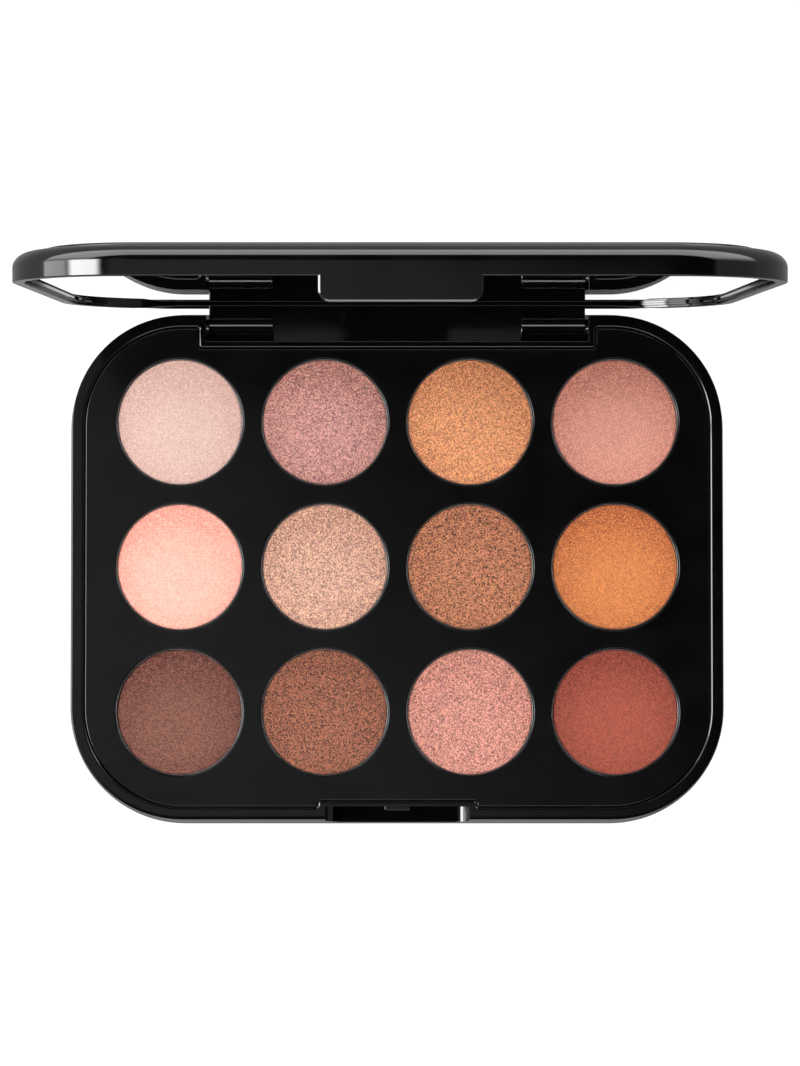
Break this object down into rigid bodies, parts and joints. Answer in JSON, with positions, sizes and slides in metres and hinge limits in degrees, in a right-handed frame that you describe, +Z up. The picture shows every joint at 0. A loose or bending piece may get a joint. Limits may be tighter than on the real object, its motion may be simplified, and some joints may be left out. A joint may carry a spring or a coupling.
{
  "type": "eyeshadow palette",
  "caption": "Slim rectangular eyeshadow palette with rounded corners: a black base holding a grid of round pans of pressed powder, and a hinged lid with a mirror inside.",
  "frame": {"origin": "centre of the flat underside of the base", "axes": "+Z up out of the base, +Y towards the hinge, +X to the right as seen by the person using it"},
  "size_m": [0.1252, 0.1033, 0.0975],
  "materials": {
    "gloss_black": "gloss, moulded black plastic",
    "deck_black": "satin, moulded black plastic",
    "panel_black": "high gloss black plastic",
    "mirror_glass": "silvered glass",
    "pan_metal": "bright pressed metal",
    "pin_steel": "drawn steel",
    "foam_pad": "double-sided adhesive sheet",
    "label_paper": "blank satin label",
    "powder_r1c1": "matte pressed powder, pale pink beige",
    "powder_r1c2": "shimmer pressed powder, mauve",
    "powder_r1c3": "shimmer pressed powder, gold",
    "powder_r1c4": "matte pressed powder, dusty peach",
    "powder_r2c1": "matte pressed powder, light peach",
    "powder_r2c2": "shimmer pressed powder, champagne",
    "powder_r2c3": "coarse shimmer pressed powder, bronze",
    "powder_r2c4": "matte pressed powder, orange tan",
    "powder_r3c1": "matte pressed powder, plum brown",
    "powder_r3c2": "shimmer pressed powder, copper brown",
    "powder_r3c3": "shimmer pressed powder, pink",
    "powder_r3c4": "matte pressed powder, brick red"
  },
  "bodies": {
    "base": {"base_shell": "gloss_black", "deck_tray": "deck_black", "base_label": "label_paper", "pan_r1c1": "pan_metal", "pan_r1c2": "pan_metal", "pan_r1c3": "pan_metal", "pan_r1c4": "pan_metal", "pan_r2c1": "pan_metal", "pan_r2c2": "pan_metal", "pan_r2c3": "pan_metal", "pan_r2c4": "pan_metal", "pan_r3c1": "pan_metal", "pan_r3c2": "pan_metal", "pan_r3c3": "pan_metal", "pan_r3c4": "pan_metal", "powder_r1c1": "powder_r1c1", "powder_r1c2": "powder_r1c2", "powder_r1c3": "powder_r1c3", "powder_r1c4": "powder_r1c4", "powder_r2c1": "powder_r2c1", "powder_r2c2": "powder_r2c2", "powder_r2c3": "powder_r2c3", "powder_r2c4": "powder_r2c4", "powder_r3c1": "powder_r3c1", "powder_r3c2": "powder_r3c2", "powder_r3c3": "powder_r3c3", "powder_r3c4": "powder_r3c4", "pan_pad_r1c1": "foam_pad", "pan_pad_r1c2": "foam_pad", "pan_pad_r1c3": "foam_pad", "pan_pad_r1c4": "foam_pad", "pan_pad_r2c1": "foam_pad", "pan_pad_r2c2": "foam_pad", "pan_pad_r2c3": "foam_pad", "pan_pad_r2c4": "foam_pad", "pan_pad_r3c1": "foam_pad", "pan_pad_r3c2": "foam_pad", "pan_pad_r3c3": "foam_pad", "pan_pad_r3c4": "foam_pad", "hinge_pin_left": "pin_steel", "hinge_pin_right": "pin_steel"},
    "lid": {"lid_shell": "gloss_black", "lid_panel": "panel_black", "mirror": "mirror_glass", "mirror_pad": "foam_pad"}
  },
  "joints": [
    {"name": "lid_hinge", "type": "hinge", "parent": "base", "child": "lid", "pos_m": [0, 0.0453, 0.0044], "axis": [-1, 0, 0], "range_deg": [-84, 16]}
  ]
}
